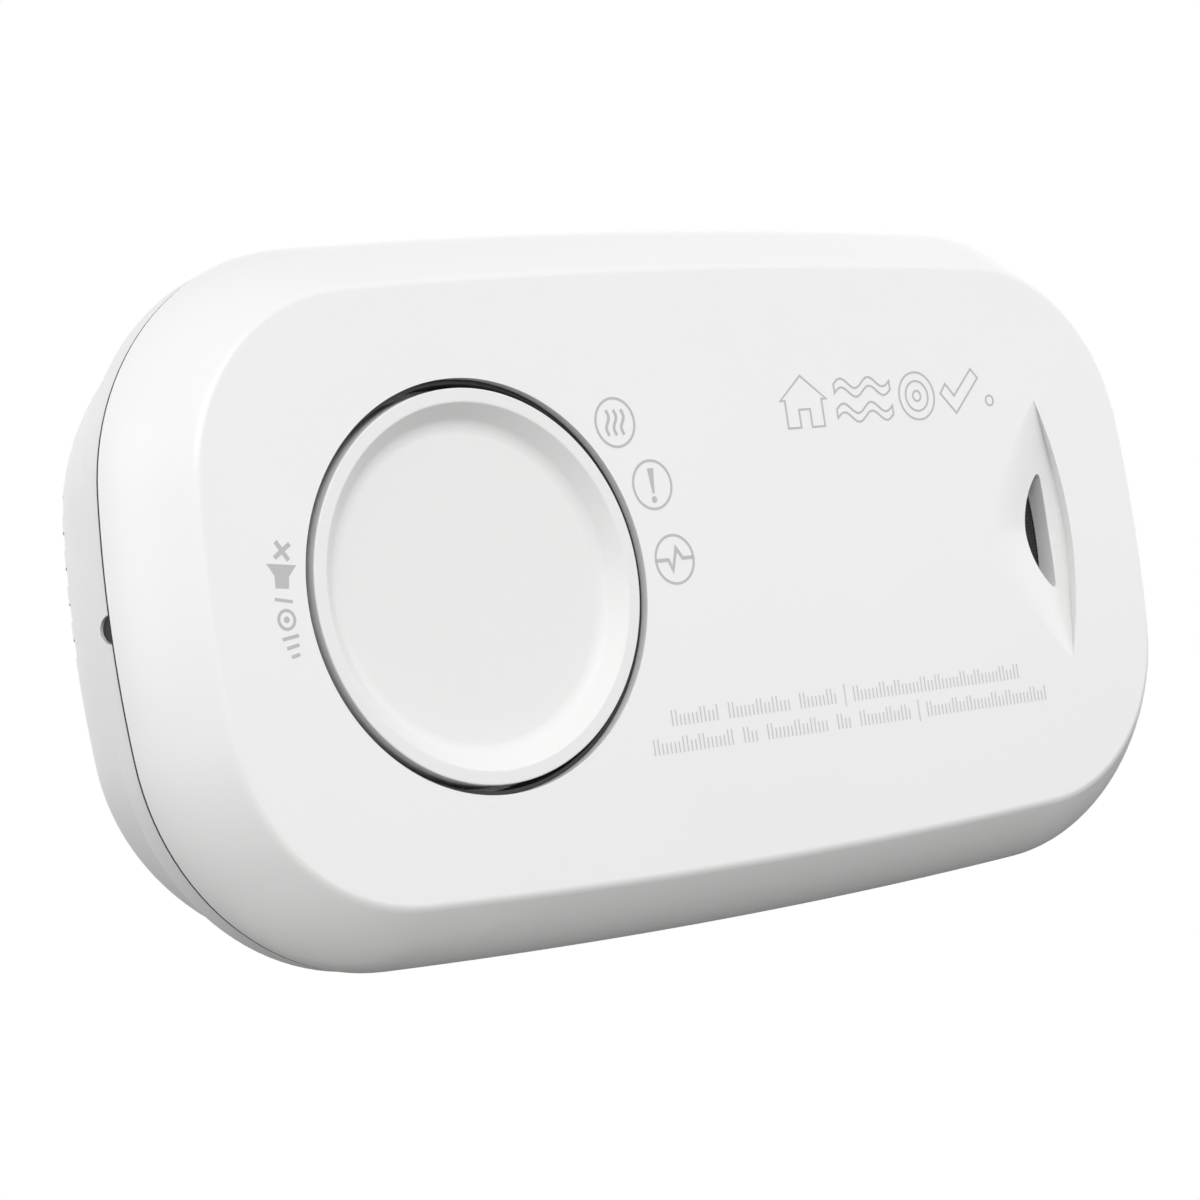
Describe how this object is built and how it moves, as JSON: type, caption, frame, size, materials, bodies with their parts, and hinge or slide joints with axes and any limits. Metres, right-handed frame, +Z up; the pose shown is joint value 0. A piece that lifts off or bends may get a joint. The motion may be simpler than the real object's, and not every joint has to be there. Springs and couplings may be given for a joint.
{
  "type": "carbon monoxide detector",
  "caption": "Wall-hung carbon monoxide detector: bowed rounded white case, round dished test button, scooped sound slot, vented rear tray and hooked wall plate.",
  "frame": {"origin": "middle of the wall plate's back face, which lies on the wall", "axes": "+Z up in use, +X to the right as seen from the room, +Y into the wall (the front faces -Y)"},
  "size_m": [0.12, 0.033, 0.0646],
  "materials": {
    "white_gloss": "gloss moulded plastic",
    "white_matt": "fine matt texture",
    "black_plastic": "matt",
    "board_green": "solder mask on glass fibre",
    "clear_plastic": "clear moulded plastic",
    "rubber": "matt",
    "steel": "bright plated",
    "brass": "bright",
    "ceramic": "fired ceramic with a silvered face",
    "cell_sleeve": "shrink sleeve"
  },
  "bodies": {
    "plate": {"wall_plate": "white_matt"},
    "alarm": {"front_cover": "white_gloss", "rear_housing": "white_gloss", "return_spring": "steel", "switch_body": "black_plastic", "circuit_board": "board_green", "mcu_chip": "black_plastic", "boost_coil": "black_plastic", "capacitor_1": "black_plastic", "capacitor_2": "black_plastic", "pin_header": "brass", "light_shield": "black_plastic", "sounder_gasket": "rubber", "sounder_diaphragm": "brass", "sounder_ceramic": "ceramic", "sounder_retainer": "black_plastic", "sensor_can": "steel", "sensor_seal": "rubber", "sensor_cap": "white_matt", "lithium_cell": "cell_sleeve", "cell_tab_positive": "steel", "cell_tab_negative": "steel", "case_screw_1": "steel", "case_screw_2": "steel", "case_screw_3": "steel", "case_screw_4": "steel", "board_screw_1": "steel", "board_screw_2": "steel", "lamp_alarm": "clear_plastic", "lamp_fault": "clear_plastic", "lamp_power": "clear_plastic", "light_pipe_alarm": "clear_plastic", "light_pipe_fault": "clear_plastic", "light_pipe_power": "clear_plastic"},
    "button": {"test_button": "white_matt"},
    "plunger": {"switch_plunger": "black_plastic"}
  },
  "joints": [
    {"name": "alarm_lift", "type": "slide", "parent": "plate", "child": "alarm", "axis": [0, 0, 1], "range_m": [0, 0.0052]},
    {"name": "button_press", "type": "slide", "parent": "alarm", "child": "button", "axis": [0, 1, 0], "range_m": [0, 0.001], "stiffness_N_per_m": 600, "springref_m": -0.0015, "deforming": ["return_spring"]},
    {"name": "plunger_press", "type": "slide", "parent": "alarm", "child": "plunger", "axis": [0, 1, 0], "range_m": [0, 0.001]}
  ],
  "couplings": [
    {"joint": "plunger_press", "follows": "button_press", "ratio": 1}
  ]
}
